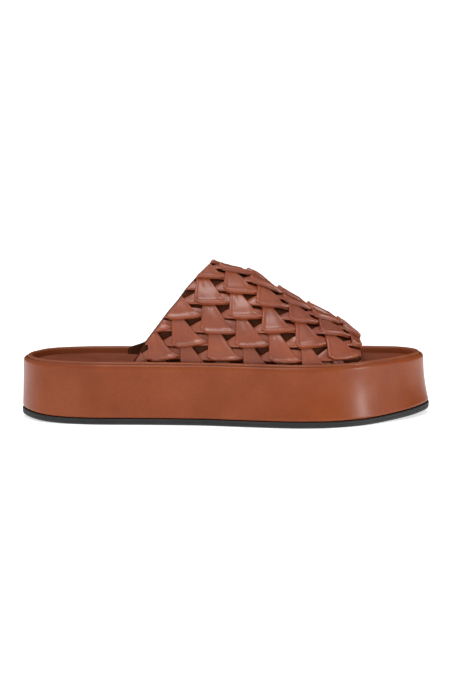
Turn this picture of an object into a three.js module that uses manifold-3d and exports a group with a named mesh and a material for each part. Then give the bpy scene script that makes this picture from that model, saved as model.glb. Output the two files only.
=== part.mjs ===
// A backless, open-toed platform slide for a right foot: a vamp woven from leather strips on a
// leather-covered platform with a rolled rim, a sunken footbed and a thin rubber outsole.
//
// Frame: millimetres, +X towards the toe, +Y towards the inner side of the foot, +Z up, the origin
// under the middle of the slide's box, on the plane that it stands on.

import * as THREE from "three";
import { mergeVertices } from "three/addons/utils/BufferGeometryUtils.js";
import Module from "manifold-3d";

const wasm = await Module();
wasm.setup();

// ---- driving dimensions ----

const GAP = 0.3; // between pieces that touch

// Plan of the platform's wall at the rim, from the heel's end round the outer side to the toe's end
// and back along the inner side.
const RIM_PLAN = [
  [-136.4, 7.5], [-124.6, -21.1], [-96, -33.2], [-55, -35.8], [-17, -38.5], [17, -45.2],
  [45, -49.5], [67, -47.7], [88, -37.7], [108, -20.2], [126, -0.5], [134.9, 20], [131.5, 37.5],
  [117, 48], [92, 50.3], [58, 49.2], [22, 46.6], [-15, 46.2], [-55, 48], [-96, 48.2], [-124.6, 36.1],
];
const EVEN_STATIONS = 23; // steps along each side, closer together at the ends

const CREST_Z = 42; // top of the rolled rim
const FOOTBED_Z = 37.7; // top of the footbed cover
const OUTSOLE_THICKNESS = 4.2;
// Cross grooves under the heel and the ball of the foot: the first and last x of each field.
const TREAD = { heel: [-112, -58], ball: [14, 104], width: 2.6, depth: 1.2, pitch: 9, margin: 9 };
const HEEL_LIFT = { height: 1.8, length: 35 };
const TOE_LIFT = { height: 3, length: 50 };
const FLARE = { heel: 0.8, toe: 3.8, power: 2.1 }; // how far the wall's foot stands out past the rim
const WRAP_THICKNESS = 1.2;
const BINDING_THICKNESS = 1.1;
const TUCK = 10; // how far the wrap is turned in under the core
const RIM_WIDTH = 6.3; // from the wall's face to the inner face of the rim
const BOARD_THICKNESS = 1.6;
const FOAM_THICKNESS = 2;
const COVER_THICKNESS = 1.2;

// The vamp. Its sides stand in the slot between the rim and the footbed.
const LINING_INSET = 11; // from the wall's face to the lining's outer face
const LINING_THICKNESS = 1.2;
const MARGIN_WIDTH = 11; // the lasting margin, turned in under the insole board
const SLOT = { rear: -73, front: 99, fade: 9 }; // where the slot runs, and how it fades out
const SPRING_Z = 40; // where the arch starts
const ARCH_FULLNESS = 0.86; // power of the arch's sine: 1 is an ellipse, and less is fuller
const WEAVE_HEIGHT = 4; // from the lining to the crest of the weave
const RIDGE = [
  [-80, 121], [-45, 114], [-8, 106.6], [16.7, 100.3], [30.2, 92], [50.5, 80.5], [64, 73.6],
  [77.5, 66.2], [91, 55.5], [106, 52],
]; // side view of the weave's crest along the middle of the foot: x, z
const RIDGE_SHIFT = 3; // the highest line lies this far towards the inner side
// The vamp's sloping rear edge: height, and its x at TOPLINE_Y on the outer and inner sides.
const TOPLINE = [
  [28, -62.5, -66.5], [38, -61.2, -66], [42, -60.2, -65.4], [44.5, -58.8, -56.5], [48, -56.8, -50.5],
  [55, -53.2, -44.5], [67, -44.3, -35.3], [75, -38.5, -29.5], [83, -31.9, -22.9], [90, -27.2, -18.2],
  [97.5, -20.7, -11.7], [104.5, -13.8, -4.8], [107, -11, -2], [130, 14, 23],
];
const TOPLINE_Y = { outer: -28, inner: 38 };
const FRONT_EDGE = 91;
const LINING_PROUD = 0.7; // how far the lining shows past the strips' cut ends
const STRIP_FOOT_Z = 35; // strips end here, below the rim, trapped beside the footbed

// Where the cross strips leave the outer rim: x. The first and last only give the weave's rhythm.
const CROSS_FEET = [-75, -57.4, -40.7, -20.9, 2.5, 21.8, 41.4, 60.2, 77.5, 97, 116];
const CROSS = { count: CROSS_FEET.length - 2, width: 15.2, lean: 18, leanOver: 100 };
const LONG = { count: 20, first: -7.25, pitch: 9.3, width: 7.3 };
const STRIP_THICKNESS = 1.2;
const LOW = 1; // height of a lower strip's underside above the lining
const HIGH = LOW + STRIP_THICKNESS + 0.35;

// ---- plan outlines ----

const smooth = (a, b, x) => THREE.MathUtils.smoothstep(x, a, b);
const mix = THREE.MathUtils.lerp;

const planCurve = new THREE.CatmullRomCurve3(
  RIM_PLAN.map(([x, y]) => new THREE.Vector3(x, y, 0)), true, "centripetal",
);
const FINE = 900;
const finePlan = planCurve.getSpacedPoints(FINE).slice(0, FINE);

// The plan moved inwards, as a closed list of points.
function insetPlan(distance) {
  return finePlan.map((p, i) => {
    const before = finePlan[(i + FINE - 1) % FINE];
    const after = finePlan[(i + 1) % FINE];
    const along = after.clone().sub(before).normalize();
    return new THREE.Vector3(p.x - along.y * distance, p.y + along.x * distance, 0);
  });
}

// The y of a closed plan at x, on its outer (-1) or inner (+1) side.
function sideOf(plan) {
  const tail = plan.reduce((best, p, i) => (p.x < plan[best].x ? i : best), 0);
  const tip = plan.reduce((best, p, i) => (p.x > plan[best].x ? i : best), 0);
  const walk = (from, to) => {
    const points = [];
    for (let i = from; ; i = (i + 1) % plan.length) {
      points.push(plan[i]);
      if (i === to) return points;
    }
  };
  const sides = { "-1": walk(tail, tip), 1: walk(tip, tail).reverse() };
  return (x, side) => {
    const points = sides[side];
    const next = points.findIndex((p) => p.x >= x);
    if (next <= 0) return points[next === 0 ? 0 : points.length - 1].y;
    const [a, b] = [points[next - 1], points[next]];
    return mix(a.y, b.y, (x - a.x) / Math.max(b.x - a.x, 1e-9));
  };
}

// One closed loop of plan points: heel, outer side, toe, inner side. Point i on the outer side
// lies across from point 2 * STATIONS - i on the inner side.
const planY = sideOf(finePlan);
const HEEL_X = Math.min(...finePlan.map((p) => p.x));
const TOE_X = Math.max(...finePlan.map((p) => p.x));
const slotEnds = [SLOT.rear - SLOT.fade, SLOT.rear, SLOT.front, SLOT.front + SLOT.fade];
const evenXs = Array.from({ length: EVEN_STATIONS + 1 }, (_, i) =>
  mix(HEEL_X, TOE_X, (1 - Math.cos((Math.PI * i) / EVEN_STATIONS)) / 2));
const clearOfEnds = evenXs.filter((x) => slotEnds.every((end) => Math.abs(x - end) > 4));
const stationXs = [...clearOfEnds, ...slotEnds].sort((a, b) => a - b);
const STATIONS = stationXs.length - 1;
const LOOP = 2 * STATIONS;
const loopPlan = Array.from({ length: LOOP }, (_, k) => {
  const x = stationXs[Math.min(k, LOOP - k)];
  const step = Math.min(k, LOOP - k);
  const y = step === 0 || step === STATIONS
    ? (planY(x, -1) + planY(x, 1)) / 2
    : planY(x, k < STATIONS ? -1 : 1);
  return new THREE.Vector3(x, y, 0);
});
const loopOut = loopPlan.map((_, k) => {
  const along = loopPlan[(k + 1) % LOOP].clone().sub(loopPlan[(k + LOOP - 1) % LOOP]).normalize();
  return new THREE.Vector3(along.y, -along.x, 0);
});

// ---- platform: heights and profiles ----

function lift(x) {
  const heel = Math.max(0, HEEL_X + HEEL_LIFT.length - x) / HEEL_LIFT.length;
  const toe = Math.max(0, x - TOE_X + TOE_LIFT.length) / TOE_LIFT.length;
  return HEEL_LIFT.height * heel ** 2 + TOE_LIFT.height * toe ** 2;
}
const outsoleTop = (x) => OUTSOLE_THICKNESS + 1.25 * lift(x);
const wallFoot = (x) => outsoleTop(x) + GAP;
const flare = (x) => mix(FLARE.heel, FLARE.toe, smooth(-40, 110, x));
const SHOULDER_Z = 37.6;

// Points of the wall's face at one place along it: distance in from the plan, and height.
function wallProfile(x, depth) {
  return [0.04, 0.16, 0.36, 0.62, 1].map((rise) => [
    depth - flare(x) * (1 - rise) ** FLARE.power,
    mix(wallFoot(x), SHOULDER_Z, rise),
  ]);
}

// How much of the footbed's edge the vamp's sides take, from 0 at the heel and toe to 1. The x is
// that of the slot beside the footbed.
const beside = (slotX) =>
  smooth(SLOT.rear - SLOT.fade, SLOT.rear, slotX) *
  (1 - smooth(SLOT.front, SLOT.front + SLOT.fade, slotX));
const footbedInset = (slotX) =>
  mix(RIM_WIDTH + GAP, LINING_INSET + LINING_THICKNESS + GAP, beside(slotX));

// The closed section of a sheet of leather: its outer face, and the same face moved inwards.
function sheetSection(face, thickness) {
  const back = face.map(([d, z], i) => {
    const [d0, z0] = face[Math.max(i - 1, 0)];
    const [d1, z1] = face[Math.min(i + 1, face.length - 1)];
    const length = Math.hypot(d1 - d0, z1 - z0);
    return [d + ((z1 - z0) / length) * thickness, z - ((d1 - d0) / length) * thickness];
  });
  return [...face, ...back.reverse()];
}

function meshGeometry(points, triangles) {
  const geometry = new THREE.BufferGeometry();
  geometry.setAttribute("position", new THREE.Float32BufferAttribute(points.flat(), 3));
  geometry.setIndex(triangles);
  return geometry;
}

// Sweeps a section round the plan. section(x, slotX) lists [distance in from the plan, z] from the
// lowest outer point upwards and inwards, where slotX is the x of the slot that the vamp stands in.
// A closed section makes a ring, and an open one is capped across its first and last loops.
function sweep(section, closed) {
  const sections = loopPlan.map((p, k) => section(p.x, p.x - loopOut[k].x * LINING_INSET));
  const count = sections[0].length;
  const points = [];
  for (let r = 0; r < count; r += 1)
    for (let k = 0; k < LOOP; k += 1) {
      const [inset, z] = sections[k][r];
      points.push([loopPlan[k].x - loopOut[k].x * inset, loopPlan[k].y - loopOut[k].y * inset, z]);
    }
  const triangles = [];
  const at = (r, k) => (r % count) * LOOP + (k % LOOP);
  for (let r = 0; r < (closed ? count : count - 1); r += 1)
    for (let k = 0; k < LOOP; k += 1) {
      triangles.push(at(r, k), at(r, k + 1), at(r + 1, k + 1));
      triangles.push(at(r, k), at(r + 1, k + 1), at(r + 1, k));
    }
  if (!closed)
    for (let i = 0; i < STATIONS; i += 1)
      for (const [row, up] of [[0, false], [count - 1, true]]) {
        const [a, b, c, d] = [i, i + 1, LOOP - i - 1, LOOP - i].map((k) => at(row, k));
        const faces = i === 0 ? [[a, b, c]] : [[a, b, c], [a, c, d]];
        for (const [p, q, s] of faces) {
          if (p === q || q === s) continue;
          triangles.push(...(up ? [p, q, s] : [s, q, p]));
        }
      }
  return meshGeometry(points, triangles);
}

const slab = (inset, bottom, top) =>
  sweep((_, slotX) => [[inset(slotX), bottom], [inset(slotX), top]], false);

// ---- solids: cutting and joining ----

function solidOf(geometry) {
  const bare = geometry.clone();
  bare.deleteAttribute("normal");
  bare.deleteAttribute("uv");
  const merged = mergeVertices(bare, 1e-4);
  return new wasm.Manifold(new wasm.Mesh({
    numProp: 3,
    vertProperties: merged.attributes.position.array,
    triVerts: new Uint32Array(merged.index.array),
  }));
}

function geometryOf(solid) {
  const { vertProperties, triVerts } = solid.getMesh();
  const geometry = new THREE.BufferGeometry();
  geometry.setAttribute("position", new THREE.BufferAttribute(new Float32Array(vertProperties), 3));
  geometry.setIndex(Array.from(triVerts));
  return geometry;
}

// ---- platform pieces ----

function outsole() {
  const edge = (x) => {
    const top = outsoleTop(x);
    return [
      [1.6 - flare(x), lift(x)],
      [0.2 - flare(x), lift(x) + 1.1],
      [-0.1 - flare(x), top - 1.2],
      [0.3 - flare(x), top],
    ];
  };
  let solid = solidOf(sweep(edge, false));
  for (const [first, last] of [TREAD.heel, TREAD.ball])
    for (let x = first; x <= last; x += TREAD.pitch) {
      const [low, high] = [planY(x, -1) + TREAD.margin, planY(x, 1) - TREAD.margin];
      const box = new THREE.BoxGeometry(TREAD.width, high - low, 2 * (TREAD.depth + lift(x)));
      box.translate(x, (low + high) / 2, 0);
      solid = solid.subtract(solidOf(box));
    }
  return geometryOf(solid);
}

function platformWrap() {
  return sweep((x) => sheetSection([
    [TUCK, wallFoot(x)],
    [1.4 - flare(x), wallFoot(x)],
    ...wallProfile(x, 0),
    [0.45, 39.5],
    [1.3, 40.5],
    [2.2, 40.9],
  ], WRAP_THICKNESS), true);
}

function rimBinding() {
  return sweep(() => sheetSection([
    [2.75, 40],
    [2.95, 41.1],
    [3.7, 41.75],
    [4.6, CREST_Z],
    [5.5, 41.75],
    [RIM_WIDTH - 0.15, 41],
    [RIM_WIDTH, 39.8],
    [RIM_WIDTH, FOOTBED_Z - 5.2],
  ], BINDING_THICKNESS), true);
}

const FLOOR_Z = FOOTBED_Z - COVER_THICKNESS - FOAM_THICKNESS - BOARD_THICKNESS - 3 * GAP;

function platformCore() {
  const skin = WRAP_THICKNESS + GAP;
  const lipInset = RIM_WIDTH - BINDING_THICKNESS - GAP;
  const marginDrop = LINING_THICKNESS + 1.5 * GAP;
  return sweep((x, slotX) => {
    const foot = wallFoot(x);
    const slotFloor = FLOOR_Z - GAP * (1 - beside(slotX)) - marginDrop * beside(slotX);
    const marginEnd = mix(RIM_WIDTH + 4, LINING_INSET + MARGIN_WIDTH + 1.5, beside(slotX));
    return [
      [TUCK + GAP + 0.2, foot],
      [TUCK + GAP, foot + skin],
      [1.4 - flare(x) + skin, foot + skin],
      ...wallProfile(x, skin + 0.05).slice(1),
      [skin + 0.7, 38.6],
      [3.3, 38.9],
      [4.2, 39.7],
      [lipInset, 39.2],
      [lipInset, slotFloor],
      [marginEnd, slotFloor],
      [marginEnd + 0.4, FLOOR_Z - GAP],
    ];
  }, false);
}

function footbedLayers() {
  const boardTop = FLOOR_Z + BOARD_THICKNESS;
  const foamTop = boardTop + GAP + FOAM_THICKNESS;
  const deeper = (slotX) => footbedInset(slotX) + 0.6;
  return {
    insole_board: slab(deeper, FLOOR_Z, boardTop),
    footbed_foam: slab(deeper, boardTop + GAP, foamTop),
    footbed_cover: sweep((_, slotX) => [
      [footbedInset(slotX), foamTop + GAP],
      [footbedInset(slotX), FOOTBED_Z - 0.5],
      [footbedInset(slotX) + 0.5, FOOTBED_Z],
    ], false),
  };
}

// ---- the vamp's arch ----

const liningY = sideOf(insetPlan(LINING_INSET));
const ridgeCurve = new THREE.SplineCurve(RIDGE.map(([x, z]) => new THREE.Vector2(x, z)));
const ridgePoints = ridgeCurve.getPoints(300);
function ridgeZ(x) {
  const next = Math.max(1, ridgePoints.findIndex((p) => p.x >= x));
  const [a, b] = [ridgePoints[next - 1], ridgePoints[next]];
  return mix(a.y, b.y, (x - a.x) / (b.x - a.x));
}

// The arch across the foot at x, as points from the outer side to the inner side.
const ARCH_STEPS = 60;
const arches = new Map();
function archAt(x) {
  if (arches.has(x)) return arches.get(x);
  const [outer, inner] = [liningY(x, -1), liningY(x, 1)];
  const rise = ridgeZ(x) - WEAVE_HEIGHT - SPRING_Z;
  const points = Array.from({ length: ARCH_STEPS + 1 }, (_, i) => {
    const angle = (Math.PI * i) / ARCH_STEPS;
    const up = Math.sin(angle);
    const across = (outer + inner) / 2 - ((inner - outer) / 2) * Math.cos(angle);
    return new THREE.Vector3(x, across + RIDGE_SHIFT * up ** 2, SPRING_Z + rise * up ** ARCH_FULLNESS);
  });
  const lengths = [0];
  for (let i = 1; i < points.length; i += 1)
    lengths.push(lengths[i - 1] + points[i].distanceTo(points[i - 1]));
  const arch = { points, lengths, girth: lengths[ARCH_STEPS] };
  arches.set(x, arch);
  return arch;
}

// A point of the lining's outer face at x, a girth length s up from the outer side's spring line.
function archPoint(x, s) {
  const { points, lengths, girth } = archAt(x);
  if (s <= 0) return points[0].clone().setZ(SPRING_Z + s);
  if (s >= girth) return points[ARCH_STEPS].clone().setZ(SPRING_Z - (s - girth));
  const next = lengths.findIndex((length) => length >= s);
  const share = (s - lengths[next - 1]) / (lengths[next] - lengths[next - 1]);
  return points[next - 1].clone().lerp(points[next], share);
}

// The same point moved out by a height above the lining.
function overArch(x, s, height) {
  const step = 1.5;
  const alongX = archPoint(x + step, s).sub(archPoint(x - step, s));
  const alongS = archPoint(x, s + step).sub(archPoint(x, s - step));
  const out = alongX.cross(alongS).normalize();
  return archPoint(x, s).addScaledVector(out, height);
}

// A closed body through rows of points that each go round it, with flat ends.
function throughRows(rows) {
  const round = rows[0].length;
  const at = (r, k) => r * round + (k % round);
  const triangles = [];
  for (let r = 0; r + 1 < rows.length; r += 1)
    for (let k = 0; k < round; k += 1) {
      triangles.push(at(r, k), at(r, k + 1), at(r + 1, k + 1));
      triangles.push(at(r, k), at(r + 1, k + 1), at(r + 1, k));
    }
  const last = rows.length - 1;
  const half = round / 2;
  for (let k = 0; k + 1 < half; k += 1) {
    const [a, b, c, d] = [k, k + 1, round - 2 - k, round - 1 - k];
    triangles.push(at(0, c), at(0, b), at(0, a), at(0, d), at(0, c), at(0, a));
    triangles.push(at(last, a), at(last, b), at(last, c), at(last, a), at(last, c), at(last, d));
  }
  return meshGeometry(rows.flat().map((p) => p.toArray()), triangles);
}

// The solid of a row body, whichever way round its rows were listed.
function facingOut(rows) {
  const solid = solidOf(throughRows(rows));
  return solid.volume() > 0 ? solid : solidOf(throughRows(rows.map((row) => row.slice().reverse())));
}

function toplineX(y, z) {
  const next = Math.max(1, TOPLINE.findIndex(([height]) => height >= z));
  const [[z0, outer0, inner0], [z1, outer1, inner1]] = [TOPLINE[next - 1], TOPLINE[next]];
  const rise = (z - z0) / (z1 - z0);
  const across = (y - TOPLINE_Y.outer) / (TOPLINE_Y.inner - TOPLINE_Y.outer);
  return mix(mix(outer0, outer1, rise), mix(inner0, inner1, rise), across);
}

// The block that the vamp is trimmed to, from its topline to its front edge.
function trimBlock(grow, floorZ) {
  const halfWidth = 60; // clears the vamp
  const heights = [floorZ, ...TOPLINE.map(([z]) => z).filter((z) => z > floorZ)];
  const rows = [];
  for (let y = -halfWidth; y <= halfWidth; y += 12)
    rows.push([
      ...heights.map((z) => new THREE.Vector3(toplineX(y, z) - grow, y, z)),
      ...heights.map((z) => new THREE.Vector3(FRONT_EDGE + grow, y, z)).reverse(),
    ]);
  return facingOut(rows);
}

// Where a line of points, one for each x, meets an edge whose x depends on y and z.
function meets(pointAt, edgeX) {
  let [low, high] = [-90, FRONT_EDGE + 6];
  for (let n = 0; n < 24; n += 1) {
    const x = (low + high) / 2;
    const p = pointAt(x);
    if (p.x < edgeX(p.y, p.z)) low = x;
    else high = x;
  }
  return (low + high) / 2;
}

function vampLining() {
  const marginZ = FLOOR_Z - GAP;
  const [archSteps, stations] = [32, 18];
  const share = (i) => (1 - Math.cos((Math.PI * i) / archSteps)) / 2; // closer at the two feet
  const section = (height) => [
    (x) => new THREE.Vector3(x, liningY(x, -1) + MARGIN_WIDTH, marginZ + height),
    (x) => overArch(x, 0, height).setZ(marginZ + height),
    ...Array.from({ length: archSteps + 1 }, (_, i) =>
      (x) => overArch(x, archAt(x).girth * share(i), height)),
    (x) => overArch(x, archAt(x).girth, height).setZ(marginZ + height),
    (x) => new THREE.Vector3(x, liningY(x, 1) - MARGIN_WIDTH, marginZ + height),
  ];
  const lines = [...section(0), ...section(-LINING_THICKNESS).reverse()].map((pointAt) => {
    const rear = meets(pointAt, (y, z) => toplineX(y, z) - LINING_PROUD);
    const front = meets(pointAt, () => FRONT_EDGE + LINING_PROUD);
    return Array.from({ length: stations + 1 }, (_, k) => pointAt(mix(rear, front, k / stations)));
  });
  return geometryOf(facingOut(lines[0].map((_, k) => lines.map((line) => line[k]))));
}

// The space that the lining fills and closes off, with a little clearance over it.
function underStrips() {
  const steps = 24;
  const rows = [];
  for (let x = -78; x <= FRONT_EDGE + 6; x += 3) {
    const { girth } = archAt(x);
    const arch = Array.from({ length: steps + 1 }, (_, i) =>
      overArch(x, (girth * i) / steps, LOW - 0.65));
    const floor = arch.map((p) => p.clone().setZ(STRIP_FOOT_Z - 5));
    rows.push([...arch, ...floor.reverse()]);
  }
  return facingOut(rows);
}

// ---- the weave ----

const crossX = (i, s) => {
  const rise = THREE.MathUtils.clamp(s / CROSS.leanOver, 0, 1);
  return CROSS_FEET[i + 1] - CROSS.lean * Math.sin((Math.PI / 2) * rise);
};
const longS = (j) => LONG.first + LONG.pitch * (j + 0.5);
const longIsOver = (i, j) => (i + j) % 2 === 0;

// A point of the crossing of cross strip i and long strip j: iSide and jSide run from -1 to 1
// across the two strips.
function crossing(i, iSide, j, jSide, height) {
  const s = longS(j) + (jSide * LONG.width) / 2;
  return overArch(crossX(i, s) + (iSide * CROSS.width) / 2, s, height);
}

function crossStrip(i) {
  const rows = [];
  for (let j = -1; j <= LONG.count; j += 1)
    for (const jSide of [-1, 1]) {
      const low = longIsOver(i, j) ? LOW : HIGH;
      const across = (height) => [-1, 0, 1].map((iSide) => crossing(i, iSide, j, jSide, height));
      rows.push([...across(low), ...across(low + STRIP_THICKNESS).reverse()]);
    }
  return facingOut(rows);
}

function longStrip(j) {
  const rows = [];
  for (let i = -1; i <= CROSS.count; i += 1)
    for (const iSide of [-1, 0, 1]) {
      const low = longIsOver(i, j) ? HIGH : LOW;
      const across = (height) => [-1, 1].map((jSide) => crossing(i, iSide, j, jSide, height));
      rows.push([...across(low), ...across(low + STRIP_THICKNESS).reverse()]);
    }
  return facingOut(rows);
}

// The pieces that a strip is left in once it is trimmed, biggest first, without loose scraps.
const SMALLEST_PIECE = 60; // cubic millimetres
function trimmed(solid, block) {
  return solid.intersect(block).decompose()
    .filter((piece) => piece.volume() > SMALLEST_PIECE)
    .sort((a, b) => b.volume() - a.volume());
}

// ---- materials and assembly ----

const matte = (color, roughness) =>
  new THREE.MeshStandardMaterial({ color, roughness, metalness: 0 });
const MATERIALS = {
  rubber: matte(0x1e1f21, 0.75),
  wallLeather: matte(0x94513a, 0.42),
  stripLeather: matte(0x9a583e, 0.42),
  footbedLeather: matte(0x864f43, 0.5),
  liningLeather: matte(0x3c1a10, 0.6),
  coreFoam: matte(0xb9a68c, 0.9),
  cushionFoam: matte(0xd8cdb6, 0.95),
  fibreBoard: matte(0xa88a62, 0.9),
};

const group = new THREE.Group();

function add(name, geometry, material) {
  const mesh = new THREE.Mesh(geometry, material);
  mesh.name = name;
  group.add(mesh);
}

add("outsole", outsole(), MATERIALS.rubber);
add("platform_wrap", platformWrap(), MATERIALS.wallLeather);
add("rim_binding", rimBinding(), MATERIALS.wallLeather);
add("platform_core", platformCore(), MATERIALS.coreFoam);
const layers = footbedLayers();
add("insole_board", layers.insole_board, MATERIALS.fibreBoard);
add("footbed_foam", layers.footbed_foam, MATERIALS.cushionFoam);
add("footbed_cover", layers.footbed_cover, MATERIALS.footbedLeather);
add("vamp_lining", vampLining(), MATERIALS.liningLeather);

const number = (n) => String(n + 1).padStart(2, "0");
const block = trimBlock(0, STRIP_FOOT_Z).subtract(underStrips());
const endings = ["", "_b"]; // a strip that the topline cuts in two
for (let i = 0; i < CROSS.count; i += 1)
  trimmed(crossStrip(i), block).forEach((piece, n) =>
    add(`cross_strip_${number(i)}${endings[n]}`, geometryOf(piece), MATERIALS.stripLeather));
for (let j = 0; j < LONG.count; j += 1)
  trimmed(longStrip(j), block).forEach((piece, n) =>
    add(`long_strip_${number(j)}${endings[n]}`, geometryOf(piece), MATERIALS.stripLeather));

// The box's middle goes over the origin, and its lowest face on the ground.
const box = new THREE.Box3().setFromObject(group);
const middle = box.getCenter(new THREE.Vector3());
group.position.set(-middle.x, -middle.y, -box.min.z);

export default group;
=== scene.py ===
"""The looks of a woven leather platform slide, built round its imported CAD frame.

Shapes are worked out in millimetres in the drawing's frame (+X to the toe, +Y to the inner side
of the foot, +Z up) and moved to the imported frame, in metres, when a mesh is made.
"""

import math

import bmesh
import bpy
import numpy as np
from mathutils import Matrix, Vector


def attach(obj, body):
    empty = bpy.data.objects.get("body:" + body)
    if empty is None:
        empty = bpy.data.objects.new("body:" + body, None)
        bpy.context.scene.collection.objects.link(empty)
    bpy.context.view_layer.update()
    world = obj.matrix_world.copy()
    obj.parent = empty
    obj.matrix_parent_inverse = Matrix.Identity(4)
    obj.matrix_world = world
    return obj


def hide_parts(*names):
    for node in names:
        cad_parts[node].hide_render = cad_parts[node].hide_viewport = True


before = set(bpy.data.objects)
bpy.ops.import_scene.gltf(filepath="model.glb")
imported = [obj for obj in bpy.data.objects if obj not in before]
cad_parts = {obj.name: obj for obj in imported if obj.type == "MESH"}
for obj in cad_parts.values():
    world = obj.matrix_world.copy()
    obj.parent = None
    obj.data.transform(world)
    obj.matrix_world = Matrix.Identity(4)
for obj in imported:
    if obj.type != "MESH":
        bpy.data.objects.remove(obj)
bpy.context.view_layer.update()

MM = 0.001
DRAWING_ORIGIN = np.array([-0.841, -0.95, 0.0])  # of the drawing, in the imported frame, in mm
BODY = "root"

# ---- dimensions in mm, most of them the frame's own ----

RIM_PLAN = np.array([
    [-136.4, 7.5], [-124.6, -21.1], [-96, -33.2], [-55, -35.8], [-17, -38.5], [17, -45.2],
    [45, -49.5], [67, -47.7], [88, -37.7], [108, -20.2], [126, -0.5], [134.9, 20], [131.5, 37.5],
    [117, 48], [92, 50.3], [58, 49.2], [22, 46.6], [-15, 46.2], [-55, 48], [-96, 48.2],
    [-124.6, 36.1],
])
FOOTBED_Z = 37.7
OUTSOLE_THICKNESS = 4.2
HEEL_LIFT, HEEL_LIFT_LENGTH = 1.8, 35.0
TOE_LIFT, TOE_LIFT_LENGTH = 3.0, 50.0
OUTSOLE_TOP_LIFT = 1.25  # how much more the outsole's upper face turns up than its tread
FLARE_HEEL, FLARE_TOE, FLARE_POWER = 0.8, 3.8, 2.1  # the wall's foot stands out from its top
FLARE_FROM, FLARE_TO = -40.0, 110.0  # x where the flare starts and stops growing
SHOULDER_Z = 37.6
GAP = 0.3
TREAD_HEEL, TREAD_BALL = (-112.0, -58.0), (14.0, 104.0)
TREAD_PITCH, TREAD_WIDTH, TREAD_DEPTH, TREAD_MARGIN = 9.0, 2.6, 1.2, 9.0
RIM_WIDTH = 6.3
COVER_THICKNESS, FOAM_THICKNESS = 1.2, 2.0
# The footbed's notches for the vamp's sides; they are shorter than the frame's, so the leather
# closes up to the vamp.
SLOT_REAR_OUTER, SLOT_REAR_INNER, SLOT_FRONT, SLOT_FADE = -60.0, -64.0, 87.5, 2.4

LINING_INSET, LINING_THICKNESS, LINING_PROUD = 11.0, 1.2, 0.7
SPRING_Z = 40.0  # where the arch starts
SLOT_DEPTH = 6.4  # how far below the spring line the strips and the lining run
ARCH_FULLNESS = 0.86
WEAVE_HEIGHT = 4.0
RIDGE = np.array([  # x, and the height of the weave's ridge
    [-80, 121], [-45, 114], [-8, 106.6], [16.7, 100.3], [30.2, 92], [50.5, 80.5], [64, 73.6],
    [77.5, 66.2], [91, 55.5], [106, 52],
])
RIDGE_SHIFT = 3.0  # towards the inner side
TOPLINE = np.array([  # height, and the rear edge's x on the outer and inner sides
    [28, -62.5, -66.5], [38, -61.2, -66], [42, -60.2, -65.4], [44.5, -58.8, -56.5],
    [48, -56.8, -50.5], [55, -53.2, -44.5], [67, -44.3, -35.3], [75, -38.5, -29.5],
    [83, -31.9, -22.9], [90, -27.2, -18.2], [97.5, -20.7, -11.7], [104.5, -13.8, -4.8],
    [107, -11, -2], [130, 14, 23],
])
TOPLINE_OUTER_Y, TOPLINE_INNER_Y = -28.0, 38.0
FRONT_EDGE = 91.0

# x of the cross strips' middles at the outer spring line, with a free place at each end
CROSS_FEET = [-75, -57.4, -40.7, -20.9, 2.5, 21.8, 41.4, 60.2, 77.5, 97, 116]
CROSS_COUNT = 9
CROSS_LEAN, LEAN_OVER = 18.0, 100.0  # how far they lean back, and over which girth length
END_PITCH = 18.0  # between a free place and the strip that would come next
LONG_COUNT, LONG_FIRST, LONG_PITCH = 20, -7.25, 9.3


# ---- small mathematics ----

def smooth(a, b, x):
    t = np.clip((np.asarray(x, float) - a) / (b - a), 0, 1)
    return t * t * (3 - 2 * t)


def mix(a, b, t):
    return a + (b - a) * t


def closed_curve(points, per_span):
    """Closed centripetal Catmull-Rom curve through 2-D points, as a dense list of points."""
    n = len(points)
    out = []
    for k in range(n):
        p = [points[(k + d) % n] for d in (-1, 0, 1, 2)]
        dt = [np.linalg.norm(p[m + 1] - p[m]) ** 0.5 for m in range(3)]
        t1 = (p[1] - p[0]) / dt[0] - (p[2] - p[0]) / (dt[0] + dt[1]) + (p[2] - p[1]) / dt[1]
        t2 = (p[2] - p[1]) / dt[1] - (p[3] - p[1]) / (dt[1] + dt[2]) + (p[3] - p[2]) / dt[2]
        t1, t2 = t1 * dt[1], t2 * dt[1]
        for t in np.arange(per_span) / per_span:
            c2, c3 = -3 * p[1] + 3 * p[2] - 2 * t1 - t2, 2 * p[1] - 2 * p[2] + t1 + t2
            out.append(p[1] + t1 * t + c2 * t * t + c3 * t ** 3)
    return np.array(out)


def open_curve(points, per_span):
    """Open uniform Catmull-Rom curve through 2-D points."""
    ends = np.vstack([points[:1], points, points[-1:]])
    out = []
    for k in range(1, len(ends) - 2):
        p0, p1, p2, p3 = ends[k - 1:k + 3]
        for t in np.arange(per_span) / per_span:
            v0, v1 = (p2 - p0) / 2, (p3 - p1) / 2
            out.append((2 * p1 - 2 * p2 + v0 + v1) * t ** 3
                       + (-3 * p1 + 3 * p2 - 2 * v0 - v1) * t * t + v0 * t + p1)
    return np.vstack([out, points[-1:]])


def even_points(points, count):
    """A closed curve's points moved to even steps along it."""
    ring = np.vstack([points, points[:1]])
    run = np.concatenate([[0], np.cumsum(np.linalg.norm(np.diff(ring, axis=0), axis=1))])
    at = np.arange(count) / count * run[-1]
    return np.stack([np.interp(at, run, ring[:, a]) for a in (0, 1)], 1)


FULL_TURN = 2 * math.pi
WAVE_COUNT = 6


def waves(x, y, z, length, seed):
    """Smooth, seeded unevenness between about -1 and 1."""
    rng = np.random.default_rng(seed)
    total = 0
    for _ in range(WAVE_COUNT):
        way = rng.normal(size=3)
        way *= FULL_TURN / length / np.linalg.norm(way) * rng.uniform(0.6, 1.5)
        total = total + np.sin(way[0] * x + way[1] * y + way[2] * z + rng.uniform(0, FULL_TURN))
    return total / (WAVE_COUNT / 2)


def any_seed(rng):
    return int(rng.integers(1e6))


# ---- the platform's outline and heights ----

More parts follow.
